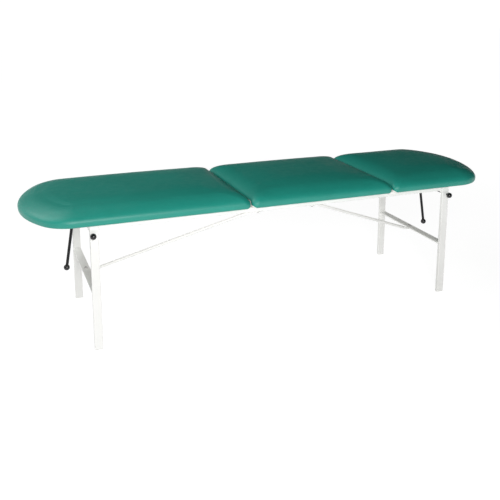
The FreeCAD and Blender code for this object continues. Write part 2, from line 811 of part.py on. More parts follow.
def make_strap(end, x):
    name = "clamp_strap_" + end
    run = "slot_end_x - clamp_start"
    middle = f"{x} * (slot_end_x + clamp_start) / 2"
    outside = [
        block(name + "_body", (middle, "0", "strap_z"), (run, "2 * jaw_y", "strap_height")),
        rod(name + "_bend", (f"{x} * slot_end_x", "0", "tube_bottom - strap_height"), "+z", "2 * jaw_y",
            "strap_height"),
    ]
    inside = [
        block(name + "_slot", (middle, "0", "strap_z"), (run, "slot_width", "strap_height")),
        rod(name + "_slot_end", (f"{x} * slot_end_x", "0", "tube_bottom - strap_height"), "+z", "slot_width",
            "strap_height"),
        rod(name + "_pass", (f"{x} * clamp_x", "-jaw_y", "strap_z"), "+y", "clamp_diameter + 2 * hole_gap",
            "strap_thickness"),
        rod(name + "_thread", (f"{x} * clamp_x", "slot_width / 2", "strap_z"), "+y",
            "clamp_diameter + 2 * thread_gap", "strap_thickness"),
    ]
    node(cut(name + "_open", fused(name + "_whole", outside), inside), name)


def make_clamp_screw(end, x):
    name = "clamp_screw_" + end
    place = f"{x} * clamp_x"
    shaft = rod(name + "_shaft", (place, "-knob_y", "strap_z"), "+y", "clamp_diameter",
                "knob_y + jaw_y + clamp_tail")
    collar = rod(name + "_collar", (place, "-jaw_y - collar_height", "strap_z"), "+y", "clamp_collar",
                 "collar_height")
    node(fused(name + "_whole", [shaft, collar]), name)
    knob = ball("knob_ball_" + end, (place, "-knob_y", "strap_z"), "knob_diameter")
    seat = rod("knob_seat_" + end, (place, "-knob_y", "strap_z"), "+y", "clamp_diameter", "knob_diameter")
    node(cut("knob_bored_" + end, knob, [seat]), "clamp_knob_" + end)


make_rails()
make_legs()
make_cross_pieces()
make_braces()
make_brace_bolts()
for end_name, end_sign in ENDS.items():
    make_end_board(end_name, end_sign)
make_middle_board()
doc.recompute()
make_cushions()
make_rail_screws()
make_hinges()
for end_name, end_sign in ENDS.items():
    make_bracket(end_name, end_sign)
    make_pivot(end_name, end_sign)
    make_strut(end_name, end_sign)
    make_strap(end_name, end_sign)
    make_clamp_screw(end_name, end_sign)
doc.recompute()

for shape in doc.Objects:
    if "Invalid" in shape.State or "Error" in shape.State:
        raise RuntimeError(f"{shape.Label} failed: {shape.State}")
for shape in nodes:
    if shape.Shape.isNull() or not shape.Shape.isValid() or not shape.Shape.Solids:
        raise RuntimeError(f"{shape.Label} has no valid solid")

os.makedirs("parts", exist_ok=True)
for shape in nodes:
    shape.Shape.exportStep(f"parts/{shape.Label}.step")
print(f"{len(nodes)} sub-parts, {sum(len(shape.Shape.Solids) for shape in nodes)} solids")
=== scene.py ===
import json
import math
import bmesh
import bpy
import numpy
from mathutils import Matrix, Vector
from mathutils.kdtree import KDTree


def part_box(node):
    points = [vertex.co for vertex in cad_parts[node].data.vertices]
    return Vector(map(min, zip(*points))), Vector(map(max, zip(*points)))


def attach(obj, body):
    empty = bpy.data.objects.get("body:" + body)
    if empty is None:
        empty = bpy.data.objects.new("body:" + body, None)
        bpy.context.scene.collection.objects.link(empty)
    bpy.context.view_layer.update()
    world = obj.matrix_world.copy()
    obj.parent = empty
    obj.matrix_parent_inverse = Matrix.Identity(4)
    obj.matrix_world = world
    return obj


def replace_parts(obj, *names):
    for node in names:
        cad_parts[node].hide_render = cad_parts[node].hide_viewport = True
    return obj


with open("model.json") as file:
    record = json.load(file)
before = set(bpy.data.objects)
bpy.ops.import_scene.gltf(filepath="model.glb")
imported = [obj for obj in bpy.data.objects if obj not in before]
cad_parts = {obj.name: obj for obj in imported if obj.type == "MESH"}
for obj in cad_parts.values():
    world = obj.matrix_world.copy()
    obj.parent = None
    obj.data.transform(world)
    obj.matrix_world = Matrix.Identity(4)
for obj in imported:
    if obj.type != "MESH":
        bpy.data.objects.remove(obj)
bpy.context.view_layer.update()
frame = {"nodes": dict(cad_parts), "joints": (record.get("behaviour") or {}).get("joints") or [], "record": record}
scene = bpy.context.scene
scene.view_settings.view_transform = "Standard"
endSides = {"foot": -1, "head": 1}
print("frame loaded:", len(frame["nodes"]), "nodes")


# camera

view = {
    "focalPixels": 729.3,
    "framePixels": 500,
    "sensor": 36.0,
    "reach": 200,
    "windowDrop": -105,                    # pixels between the optical axis and the picture's middle
    "place": (-1.0866, -2.6727, 1.2506),
    "yaw": math.radians(21.163),
    "pitch": math.radians(11.904),
    "roll": math.radians(0.094),
}


def placeCamera():
    lens = bpy.data.cameras.new("camera")
    lens.sensor_width = view["sensor"]
    lens.lens = view["focalPixels"] / view["framePixels"] * view["sensor"]
    lens.shift_y = view["windowDrop"] / view["framePixels"]
    lens.clip_end = view["reach"]
    camera = bpy.data.objects.new("camera", lens)
    turn = Matrix.Rotation(-view["yaw"], 4, "Z")
    turn = turn @ Matrix.Rotation(math.pi / 2 - view["pitch"], 4, "X")
    turn = turn @ Matrix.Rotation(view["roll"], 4, "Z")
    camera.matrix_world = Matrix.Translation(view["place"]) @ turn
    scene.collection.objects.link(camera)
    scene.camera = camera


# node helpers

def socketOf(sockets, name):
    return next(s for s in sockets if s.name == name and s.enabled)


def out(node, name):
    return socketOf(node.outputs, name)


def feed(tree, socket, value):
    # another node's output is linked, and anything else is the socket's own value
    if isinstance(value, bpy.types.NodeSocket):
        tree.links.new(value, socket)
    else:
        socket.default_value = value


def fill(tree, node, inputs):
    for name, value in inputs.items():
        feed(tree, socketOf(node.inputs, name), value)


def addNode(tree, kind, inputs=None, **settings):
    node = tree.nodes.new(kind)
    for key, value in settings.items():
        setattr(node, key, value)
    fill(tree, node, inputs or {})
    return node


def newGroup(name, kind, inputs, outputs):
    tree = bpy.data.node_groups.new(name, kind)
    for way, sockets in (("INPUT", inputs), ("OUTPUT", outputs)):
        for label, socketType in sockets.items():
            tree.interface.new_socket(label, in_out=way, socket_type="NodeSocket" + socketType)
    return tree, tree.nodes.new("NodeGroupInput"), tree.nodes.new("NodeGroupOutput")


def useGroup(tree, group, inputs):
    return addNode(tree, "ShaderNodeGroup", inputs, node_tree=group)


def mathNode(tree, operation, first, second, kind="ShaderNodeMath"):
    node = addNode(tree, kind, operation=operation)
    for socket, value in zip(node.inputs, (first, second)):
        feed(tree, socket, value)
    return node.outputs[0]


def mixed(tree, factor, first, second, **settings):
    node = addNode(tree, "ShaderNodeMix", {"Factor": factor, "A": first, "B": second}, **settings)
    return out(node, "Result")


def mapped(tree, value, low, high, least=0.0, most=1.0, kind="LINEAR"):
    node = addNode(tree, "ShaderNodeMapRange",
                   {"Value": value, "From Min": low, "From Max": high, "To Min": least, "To Max": most},
                   interpolation_type=kind)
    return out(node, "Result")


def noise(tree, place, scale, detail, roughness=0.5):
    return addNode(tree, "ShaderNodeTexNoise",
                   {"Vector": place, "Scale": scale, "Detail": detail, "Roughness": roughness})


# shader groups that several finishes share

pebbleShape = {"warpScale": 260.0, "warp": 0.0009, "rounding": 0.28, "toothScale": 2600.0}


def makePebble():
    # pressed grain: rounded cells with a finer tooth on them
    tree, given, made = newGroup("pebbleGrain", "ShaderNodeTree",
                                 {"Vector": "Vector", "Cells": "Float", "Tooth": "Float"},
                                 {"Height": "Float", "Crease": "Float"})
    place = out(given, "Vector")
    warp = noise(tree, place, pebbleShape["warpScale"], 1.0)
    shift = addNode(tree, "ShaderNodeVectorMath",
                    {"Vector": out(warp, "Color"), "Scale": pebbleShape["warp"]}, operation="SCALE")
    moved = mathNode(tree, "ADD", place, shift.outputs[0], "ShaderNodeVectorMath")
    cells = addNode(tree, "ShaderNodeTexVoronoi", {"Vector": moved, "Scale": out(given, "Cells")},
                    feature="DISTANCE_TO_EDGE")
    rise = mapped(tree, out(cells, "Distance"), 0.0, pebbleShape["rounding"], kind="SMOOTHSTEP")
    fine = noise(tree, place, pebbleShape["toothScale"], 2.0)
    tooth = mathNode(tree, "MULTIPLY", out(fine, "Fac"), out(given, "Tooth"))
    fill(tree, made, {"Height": mathNode(tree, "ADD", rise, tooth),
                      "Crease": mathNode(tree, "SUBTRACT", 1.0, rise)})
    return tree


mottleShape = {"detail": 4.0, "roughness": 0.6, "low": 0.3, "high": 0.7, "scuffScale": 38.0,
               "scuffDetail": 5.0}


def makeMottle():
    # slow change of shade and gloss over a surface, from handling and uneven coating
    tree, given, made = newGroup("mottle", "ShaderNodeTree",
                                 {"Vector": "Vector", "Scale": "Float", "Light": "Color", "Dark": "Color",
                                  "Smooth": "Float", "Rough": "Float"},
                                 {"Color": "Color", "Roughness": "Float"})
    place = out(given, "Vector")
    low, high = mottleShape["low"], mottleShape["high"]
    wide = noise(tree, place, out(given, "Scale"), mottleShape["detail"], mottleShape["roughness"])
    share = mapped(tree, out(wide, "Fac"), low, high)
    shade = mixed(tree, share, out(given, "Dark"), out(given, "Light"), data_type="RGBA")
    scuffs = noise(tree, place, mottleShape["scuffScale"], mottleShape["scuffDetail"])
    gloss = mapped(tree, out(scuffs, "Fac"), low, high, out(given, "Smooth"), out(given, "Rough"))
    fill(tree, made, {"Color": shade, "Roughness": gloss})
    return tree


peelShape = {"detail": 2.0, "speckScale": 120.0, "speckSize": 0.06}


def makePeel():
    # orange peel of a sprayed coat, with rare specks of dust in it
    tree, given, made = newGroup("sprayPeel", "ShaderNodeTree",
                                 {"Vector": "Vector", "Scale": "Float", "Specks": "Float"},
                                 {"Height": "Float"})
    place = out(given, "Vector")
    peel = noise(tree, place, out(given, "Scale"), peelShape["detail"])
    dots = addNode(tree, "ShaderNodeTexVoronoi", {"Vector": place, "Scale": peelShape["speckScale"]})
    speck = mapped(tree, out(dots, "Distance"), peelShape["speckSize"], 0.0)
    raised = mathNode(tree, "MULTIPLY", speck, out(given, "Specks"))
    fill(tree, made, {"Height": mathNode(tree, "ADD", out(peel, "Fac"), raised)})
    return tree


pebbleGrain = makePebble()
mottle = makeMottle()
sprayPeel = makePeel()


# finishes

def newFinish(name, look, metallic=0.0):
    finish = bpy.data.materials.new(name)
    finish.use_nodes = True
    tree = finish.node_tree
    shader = tree.nodes["Principled BSDF"]
    place = out(addNode(tree, "ShaderNodeTexCoord"), "Object")
    shade = useGroup(tree, mottle, {"Vector": place, "Scale": look["patch"], "Light": (*look["light"], 1.0),
                                    "Dark": (*look["dark"], 1.0), "Smooth": look["smooth"],
                                    "Rough": look["rough"]})
    fill(tree, shader, {"Specular IOR Level": look["specular"], "Metallic": metallic,
                        "Base Color": out(shade, "Color"), "Roughness": out(shade, "Roughness")})
    return finish, tree, shader, place


def raiseSurface(tree, shader, height, look):
    bump = addNode(tree, "ShaderNodeBump",
                   {"Height": height, "Strength": look["bump"], "Distance": look["depth"]})
    fill(tree, shader, {"Normal": out(bump, "Normal")})


# paintedCreaseShade is painted shade: the vinyl colour is darkened to this share in the grain's creases
vinylLook = {"light": (0.0165, 0.315, 0.247), "dark": (0.0145, 0.288, 0.224), "patch": 7.0, "smooth": 0.40,
             "rough": 0.50, "specular": 0.5, "skin": {"Cells": 760.0, "Tooth": 0.25}, "bump": 0.5,
             "depth": 0.00012, "paintedCreaseShade": 0.80}
whiteLook = {"light": (0.86, 0.86, 0.84), "dark": (0.80, 0.80, 0.775), "patch": 5.0, "smooth": 0.30,
             "rough": 0.42, "specular": 0.5, "skin": {"Scale": 420.0, "Specks": 0.6}, "bump": 0.5,
             "depth": 0.00005}
blackLook = {"light": (0.012, 0.012, 0.013), "dark": (0.006, 0.006, 0.007), "patch": 18.0, "smooth": 0.16,
             "rough": 0.30, "specular": 0.22, "skin": {"Scale": 600.0, "Specks": 0.6}, "bump": 0.5,
             "depth": 0.00003}
capLook = {"light": (0.80, 0.80, 0.77), "dark": (0.74, 0.74, 0.70), "patch": 40.0, "smooth": 0.45,
           "rough": 0.60, "specular": 0.4, "skin": {"Cells": 2200.0, "Tooth": 0.6}, "bump": 0.4,
           "depth": 0.00004}
knobLook = {"light": (0.010, 0.010, 0.011), "dark": (0.005, 0.005, 0.006), "patch": 60.0, "smooth": 0.10,
            "rough": 0.22, "specular": 0.55, "skin": {"Cells": 1800.0, "Tooth": 0.6}, "bump": 0.4,
            "depth": 0.00001}
boardLook = {"light": (0.80, 0.80, 0.77), "dark": (0.75, 0.75, 0.715), "patch": 6.0, "smooth": 0.32,
             "rough": 0.46, "specular": 0.4, "skin": {"Cells": 900.0, "Tooth": 0.6}, "bump": 0.4,
             "depth": 0.00003}


def makeCoat(name, look, group):
    # paint, vinyl or plastic, with the group's relief
    finish, tree, shader, place = newFinish(name, look)
    skin = useGroup(tree, group, {"Vector": place, **look["skin"]})
    raiseSurface(tree, shader, out(skin, "Height"), look)
    # painted shade: where the look asks for it, the colour is darkened in the grain's creases
    if "paintedCreaseShade" in look:
        crease = mathNode(tree, "MULTIPLY", out(skin, "Crease"), 1.0 - look["paintedCreaseShade"])
        shade = shader.inputs["Base Color"].links[0].from_socket
        darker = mixed(tree, crease, shade, (0.0, 0.0, 0.0, 1.0), data_type="RGBA", blend_type="MULTIPLY")
        fill(tree, shader, {"Base Color": darker})
    return finish


zincLook = {"light": (0.56, 0.56, 0.55), "dark": (0.40, 0.40, 0.40), "patch": 70.0, "smooth": 0.26,
            "rough": 0.44, "specular": 0.5, "brush": (60.0, 60.0, 900.0), "bump": 0.25, "depth": 0.00004}
boltLook = {"light": (0.64, 0.63, 0.62), "dark": (0.50, 0.49, 0.48), "patch": 90.0, "smooth": 0.30,
            "rough": 0.5, "specular": 0.5, "brush": (300.0, 300.0, 300.0), "bump": 0.25, "depth": 0.00004}


def makeMetal(name, look):
    finish, tree, shader, place = newFinish(name, look, metallic=1.0)
    stretch = addNode(tree, "ShaderNodeMapping", {"Vector": place, "Scale": look["brush"]})
    lines = noise(tree, out(stretch, "Vector"), 3.0, 3.0)
    raiseSurface(tree, shader, out(lines, "Fac"), look)
    return finish


vinyl = makeCoat("teal_vinyl", vinylLook, pebbleGrain)
whitePaint = makeCoat("white_powder_coat", whiteLook, sprayPeel)
blackPaint = makeCoat("black_enamel", blackLook, sprayPeel)
capPlastic = makeCoat("white_cap_plastic", capLook, pebbleGrain)
knobPlastic = makeCoat("black_knob_plastic", knobLook, pebbleGrain)
laminate = makeCoat("white_laminate", boardLook, pebbleGrain)
zinc = makeMetal("zinc_plate", zincLook)
boltSteel = makeMetal("bolt_steel", boltLook)
boltNodes = ("brace_bolts", "brace_nuts")
finishOfSlot = {
    "white_paint": whitePaint,
    "white_plastic": capPlastic,
    "black_steel": blackPaint,
    "black_plastic": knobPlastic,
    "zinc_steel": zinc,
    "white_laminate": laminate,
    "vinyl": vinyl,
}


def dressCadNodes():
    for part in frame["record"]["subparts"]:
        finish = finishOfSlot[part["material_slot"]]
        if part["node"] in boltNodes:
            finish = boltSteel
        mesh = frame["nodes"][part["node"]].data
        mesh.materials.clear()
        mesh.materials.append(finish)
    print("materials on", len(frame["nodes"]), "CAD nodes")


# pieces

def newPiece(name, mesh, finish, body):
    mesh.name = name
    mesh.materials.clear()
    mesh.materials.append(finish)
    piece = bpy.data.objects.new(name, mesh)
    scene.collection.objects.link(piece)
    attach(piece, body)
    return piece


def meshFrom(name, build):
    mesh = bpy.data.meshes.new(name)
    build.to_mesh(mesh)
    build.free()
    return mesh


def rounded(mesh, sharp):
    mesh.shade_smooth()
    mesh.set_sharp_from_angle(angle=math.radians(sharp))
    return mesh


def circle(radius, count):
    turns = [2 * math.pi * index / count for index in range(count)]
    return [(radius * math.cos(turn), radius * math.sin(turn)) for turn in turns]


def ringFaces(build, loops):
    count = len(loops[0])
    for lower, upper in zip(loops, loops[1:]):
        for index in range(count):
            after = (index + 1) % count
            build.faces.new((lower[index], lower[after], upper[after], upper[index]))


def applied(holder, name):
    # the holder's modifiers, turned into a plain mesh
    graph = bpy.context.evaluated_depsgraph_get()
    mesh = bpy.data.meshes.new_from_object(holder.evaluated_get(graph), depsgraph=graph)
    mesh.name = name
    bpy.data.objects.remove(holder)
    return mesh


# upholstered pads

padShape = {
    "belly": 0.015,            # height of the widest line over the board's underside
    "seamEdge": 0.0205,        # the same in the seams, where the cover ends on the board
    "tuck": 0.009,
    "tuckGap": 0.0008,
    "seamTuck": 0.011,
    "sideRoll": 0.100,
    "seamRoll": 0.090,
    "seamBulge": 0.003,        # over the hinges the covers lean into the seam, by this much
    "leanHeight": 0.008,       # from this far over their lower edge
    "rollEnd": math.radians(82),           # where the roll's slope meets the crown's
    "crown": 0.003,
    "crownWidth": 0.190,
    "crownCorner": 0.060,
    "recess": 0.060,
    "recessStep": 0.008,
    "liftFrom": 70,
    "liftTo": 12,              # round the seam corners the cover's lower edge climbs between these angles
    "seamCorner": 0.020,
    "endCorner": 0.130,
    "endRadius": 0.400,
    "leastCorner": 0.010,
    "boardInset": 0.012,
    "boardGap": 0.0004,
    "seamOverlap": 0.001,      # the boards reach this far past the vinyl in the seams
    "wrapLevel": 0.009,        # beyond the hinges' ends the cover wraps the boards' edges down to here
    "wrapFrom": 0.042,
    "wrapTo": 0.032,
    "wrapGap": 0.0003,
    "hem": 0.026,
    "hemGap": 0.0001,
    "vinylThickness": 0.0009,
    "hemFold": 0.0006,
    "foldCount": 9,
    "lowSteps": 5,
    "rollSteps": 11,
    "cornerSteps": 12,
    "endSteps": 28,
    "cell": 0.0095,
    "sharp": 60,
}
padCloth = {
    "start": 0.0035,           # the cover starts this far inside the foam's own shape
    "pressure": 4.0,
    "frames": 20,
    "reach": 0.008,
    "evening": 240,
    "edge": 0.035,             # it moves freely this far from its staples
    "seamEdge": 0.120,
    "seamShare": 0.15,
    "stiffness": 40.0,
    "bending": 4.0,
}


def arcPoints(centre, radius, start, end, count, facing):
    points = []
    for step in range(count + 1):
        turn = math.radians(start + (end - start) * step / count)
        spot = Vector((centre[0] + radius * math.cos(turn), centre[1] + radius * math.sin(turn)))
        points.append((spot, facing(math.degrees(turn))))
    return points


def linePoints(start, end, count, angle):
    begin, finish = Vector(start), Vector(end)
    return [(begin.lerp(finish, step / count), angle) for step in range(count + 1)]


def chain(*runs):
    points = list(runs[0])
    for run in runs[1:]:
        points += run[1:]
    return points


def sizesOf(end):
    low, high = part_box(end + "_cushion")
    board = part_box(end + "_board")
    shape = {"low": low, "high": high, "half": high.y, "boardThickness": board[1].z - board[0].z}
    shape["along"] = round((high.x - low.x) / padShape["cell"])
    shape["across"] = round((high.y - low.y) / padShape["cell"])
    return shape


def endOutline(sizes, side, gap, small):
    # seam, near, end and far side of an end pad, each point with its angle from the seam's normal
    steps = padShape["cornerSteps"] // 2
    bend = padShape["endSteps"] // 2
    half = sizes["half"] - side
    large = max(padShape["endCorner"] - side, padShape["leastCorner"])
    tip = padShape["endRadius"] - side
    seam = min(abs(sizes["low"].x), abs(sizes["high"].x)) + gap
    hub = max(abs(sizes["low"].x), abs(sizes["high"].x)) - padShape["endRadius"]
    turnX = hub + math.sqrt((tip - large) ** 2 - (half - large) ** 2)
    opening = math.degrees(math.atan2(half - large, turnX - hub))
    middle = (90 - opening) / 2
    corner = (seam + small, half - small)
    away = lambda angle: 90.0
    farSeam = lambda angle: 180 - angle
    nearSeam = lambda angle: angle - 180
    seamSide = chain(
        arcPoints(corner, small, 135, 180, steps, farSeam),
        linePoints((seam, corner[1]), (seam, -corner[1]), sizes["across"] - 2 * steps, 0.0),
        arcPoints((corner[0], -corner[1]), small, 180, 225, steps, nearSeam))
    nearSide = chain(
        arcPoints((corner[0], -corner[1]), small, 225, 270, steps, nearSeam),
        linePoints((corner[0], -half), (turnX, -half), sizes["along"] - steps - bend, 90.0),
        arcPoints((turnX, large - half), large, 270, 270 + middle, bend, away))
    endSide = chain(
        arcPoints((turnX, large - half), large, 270 + middle, 360 - opening, bend, away),
        arcPoints((hub, 0), tip, -opening, opening, sizes["across"] - 2 * bend, away),
        arcPoints((turnX, half - large), large, opening, 90 - middle, bend, away))
    farSide = chain(
        arcPoints((turnX, half - large), large, 90 - middle, 90, bend, away),
        linePoints((turnX, half), (corner[0], half), sizes["along"] - steps - bend, 90.0),
        arcPoints(corner, small, 90, 135, steps, farSeam))
    return [seamSide, nearSide, endSide, farSide]


def middleOutline(sizes, side, gap, small):
    steps = padShape["cornerSteps"] // 2
    half = sizes["half"] - side
    left, right = sizes["low"].x + gap, sizes["high"].x - gap
    x0, x1, y1 = left + small, right - small, half - small
    across, along = sizes["across"] - 2 * steps, sizes["along"] - 2 * steps
    fromLeft = lambda angle: abs(180 - angle)
    fromRight = lambda angle: min(angle, 360 - angle) if angle >= 0 else -angle
    return [
        chain(arcPoints((x0, y1), small, 135, 180, steps, fromLeft),
              linePoints((left, y1), (left, -y1), across, 0.0),
              arcPoints((x0, -y1), small, 180, 225, steps, fromLeft)),
        chain(arcPoints((x0, -y1), small, 225, 270, steps, fromLeft),
              linePoints((x0, -half), (x1, -half), along, 90.0),
              arcPoints((x1, -y1), small, 270, 315, steps, fromRight)),
        chain(arcPoints((x1, -y1), small, 315, 360, steps, fromRight),
              linePoints((right, -y1), (right, y1), across, 0.0),
              arcPoints((x1, y1), small, 0, 45, steps, fromRight)),
        chain(arcPoints((x1, y1), small, 45, 90, steps, fromRight),
              linePoints((x1, half), (x0, half), along, 90.0),
              arcPoints((x0, y1), small, 90, 135, steps, fromLeft)),
    ]


def loopOf(sides):
    return [point for side in sides for point in side[:-1]]


def smoothStep(value, low, high):
    share = min(max((value - low) / (high - low), 0.0), 1.0)
    return share * share * (3 - 2 * share)


def evenly(inset):
    return inset, inset, max(padShape["seamCorner"] - inset, padShape["leastCorner"])


def edgeHeight(sizes):
    return sizes["high"].z - sizes["low"].z - padShape["crown"]


def rollRing(sizes, turn):
    back = 1 - math.cos(turn)
    small = padShape["seamCorner"] + (padShape["crownCorner"] - padShape["seamCorner"]) * back
    level = padShape["belly"] + (edgeHeight(sizes) - padShape["belly"]) * math.sin(turn)
    return padShape["sideRoll"] * back, padShape["seamRoll"] * back, small, level


def padProfile(sizes):
    # each ring's inset from the sides and the seam, its seam corners' radius and its height, from the
    # inside of the board's recess round the edge to the crown: first as it runs on the outer sides,
    # then as it runs in the seams, where the cover ends on the board, and at the seams' ends, where it
    # wraps the board's edge
    top = sizes["boardThickness"] + padShape["boardGap"]
    wall = padShape["boardInset"] - padShape["boardGap"]
    under = -padShape["vinylThickness"]
    hem, hemTop = padShape["hem"], -padShape["hemGap"]
    outer = [(*evenly(inset), level) for inset, level in
             ((padShape["recess"], top), (wall, top), (wall, hemTop), (hem, hemTop), (hem, under),
              (padShape["boardInset"], under))]
    inner = [(*evenly(padShape["recess"] - padShape["recessStep"] * step), top) for step in range(len(outer))]
    rise = edgeHeight(sizes) - padShape["belly"]
    seamTurn = math.asin((padShape["seamEdge"] - padShape["belly"]) / rise)
    seamInset = rollRing(sizes, seamTurn)[1]
    face = -padShape["seamOverlap"] - padShape["wrapGap"]
    back = face - padShape["vinylThickness"]
    wrapLow = padShape["wrapLevel"]
    ends = inner + [(*evenly(inset), level) for inset, level in
                    ((face, top), (face, wrapLow), (back, wrapLow), (back, (wrapLow + top) / 2), (back, top))]
    for step in range(padShape["lowSteps"]):
        turn = math.radians(90 * step / padShape["lowSteps"])
        low = under / 2 if step == 0 else padShape["belly"] * (1 - math.cos(turn))
        outer.append((*evenly(padShape["tuck"] * (1 - math.sin(turn))), low))
        rest = 1 - step / padShape["lowSteps"]
        level = top + (padShape["seamEdge"] - top) * (1 - rest) ** 2
        inner.append((*evenly(seamInset + padShape["seamTuck"] * rest ** 2), level))
    leanFrom, leanTo = padShape["seamEdge"], padShape["seamEdge"] + padShape["leanHeight"]
    for step in range(padShape["rollSteps"] + 1):
        share = step / padShape["rollSteps"]
        outer.append(rollRing(sizes, padShape["rollEnd"] * share))
        side, gap, small, level = rollRing(sizes, seamTurn + (padShape["rollEnd"] - seamTurn) * share)
        inner.append((side, gap - padShape["seamBulge"] * smoothStep(level, leanFrom, leanTo), small, level))
        ends.append((side, gap - padShape["seamBulge"], small, level))
    return outer, inner, ends


def padRings(sizes, outline):
    outer, inner, ends = padProfile(sizes)
    plain = loopOf(outline(sizes, *evenly(0.0)))
    wrapFrom, wrapTo = (sizes["half"] - padShape[name] for name in ("wrapFrom", "wrapTo"))
    wrapped = [smoothStep(abs(spot.y), wrapFrom, wrapTo) for spot, _ in plain]
    overlap = padShape["boardInset"] + padShape["seamOverlap"]
    firstRoll = len(outer) - padShape["rollSteps"] - 1
    firstTuck = firstRoll - padShape["lowSteps"]
    rings = []
    for index, (outRing, inRing, endRing) in enumerate(zip(outer, inner, ends)):
        loops = [loopOf(outline(sizes, *way[:3])) for way in (outRing, inRing, endRing)]
        ring = []
        for (here, _), (spot, angle), (seamSpot, _), (endSpot, _), share in zip(plain, *loops, wrapped):
            room = padShape["boardInset"] - overlap * math.cos(math.radians(angle))
            wrap = smoothStep(angle, padShape["liftTo"], padShape["liftFrom"])
            if firstTuck <= index < firstRoll:
                tucked = (room - padShape["tuckGap"]) / padShape["tuck"]
                spot = here.lerp(spot, min(max(tucked, 0.0), 1.0))
            flat = seamSpot.lerp(endSpot, share).lerp(spot, wrap)
            level = inRing[3] + (endRing[3] - inRing[3]) * share
            level += (outRing[3] - level) * wrap
            ring.append(Vector((flat.x, flat.y, sizes["low"].z + level)))
        rings.append(ring)
    return rings, [angle for _, angle in plain], wrapped, firstTuck


def hemFolds(ring, sides):
    # the hem gathers into small folds round the large corners
    bend = padShape["endSteps"]
    start = len(sides[0]) - 1 - bend // 2
    for side in sides[1:3]:
        start += len(side) - 1
        for step in range(bend + 1):
            lift = math.sin(math.pi * padShape["foldCount"] * step / bend) ** 2
            ring[(start + step) % len(ring)].z -= padShape["hemFold"] * lift


def crownHeights(sizes, rim):
    # a soft distance from the rim, which leaves no ridge where two sides meet
    edge = numpy.array([(spot.x, spot.y) for spot in rim])
    steps = numpy.linalg.norm(edge - numpy.roll(edge, 1, axis=0), axis=1)
    weights = (steps + numpy.roll(steps, -1)) / 2
    reach = padShape["crownWidth"] - padShape["sideRoll"] * (1 - math.cos(padShape["rollEnd"]))
    straight = 4 / 3           # makes it the plain distance beside a straight rim

    def heightAt(spot):
        gaps = numpy.hypot(edge[:, 0] - spot.x, edge[:, 1] - spot.y)
        soft = (straight / (weights / gaps ** 5).sum()) ** 0.25
        share = min(soft / reach, 1.0)
        return rim[0].z + (sizes["high"].z - rim[0].z) * (1 - (1 - share) ** 2)

    return heightAt


def padMesh(name, sizes, outline, mirrored):
    sides = outline(sizes, *evenly(0.0))
    rings, angles, wrapped, firstTuck = padRings(sizes, outline)
    if outline is endOutline:
        for ring in rings[4:6]:            # the hem's underside
            hemFolds(ring, sides)
    heightAt = crownHeights(sizes, rings[-1])
    build = bmesh.new()
    loops = [[build.verts.new(spot) for spot in ring] for ring in rings]
    ringFaces(build, loops)
    # crown: a patch stretched between the four sides of the last ring
    rim = loops[-1]
    along, across = sizes["along"], sizes["across"]
    near = rim[across:across + along + 1]
    end = rim[across + along:2 * across + along + 1]
    far = (rim[2 * across + along:] + rim[:1])[::-1]
    seam = rim[:across + 1][::-1]
    grid = [[None] * (across + 1) for _ in range(along + 1)]
    for u in range(along + 1):
        for v in range(across + 1):
            if v in (0, across):
                grid[u][v] = near[u] if v == 0 else far[u]
            elif u in (0, along):
                grid[u][v] = seam[v] if u == 0 else end[v]
            else:
                a, b = u / along, v / across
                spot = near[u].co * (1 - b) + far[u].co * b + seam[v].co * (1 - a) + end[v].co * a
                nearLine = near[0].co * (1 - a) + near[-1].co * a
                farLine = far[0].co * (1 - a) + far[-1].co * a
                spot -= nearLine * (1 - b) + farLine * b
                spot.z = heightAt(spot)
                grid[u][v] = build.verts.new(spot)
    for u in range(along):
        for v in range(across):
            build.faces.new((grid[u][v], grid[u + 1][v], grid[u + 1][v + 1], grid[u][v + 1]))
    if mirrored:
        for vert in build.verts:
            vert.co.x = -vert.co.x
    bmesh.ops.recalc_face_normals(build, faces=build.faces)
    build.verts.index_update()
    held = {vert.index for loop in loops[:firstTuck + 1] for vert in loop}
    for step in range(1, padShape["lowSteps"]):
        for vert, angle, share in zip(loops[firstTuck + step], angles, wrapped):
            if angle < padShape["liftTo"] and (step == 1 or share > 0):
                held.add(vert.index)
    return meshFrom(name, build), held


def freedom(mesh, held, seams):
    # how freely each point of the cover may move: not at all at the staples, little along the seams
    tree = KDTree(len(held))
    for index in held:
        tree.insert(mesh.vertices[index].co, index)
    tree.balance()
    least = padCloth["seamShare"]
    shares = []
    for vert in mesh.vertices:
        gap = min(abs(vert.co.x - seam) for seam in seams)
        atSeam = least + (1 - least) * smoothStep(gap, 0.0, padCloth["seamEdge"])
        shares.append(smoothStep(tree.find(vert.co)[2], 0.0, padCloth["edge"]) * atSeam)
    return shares


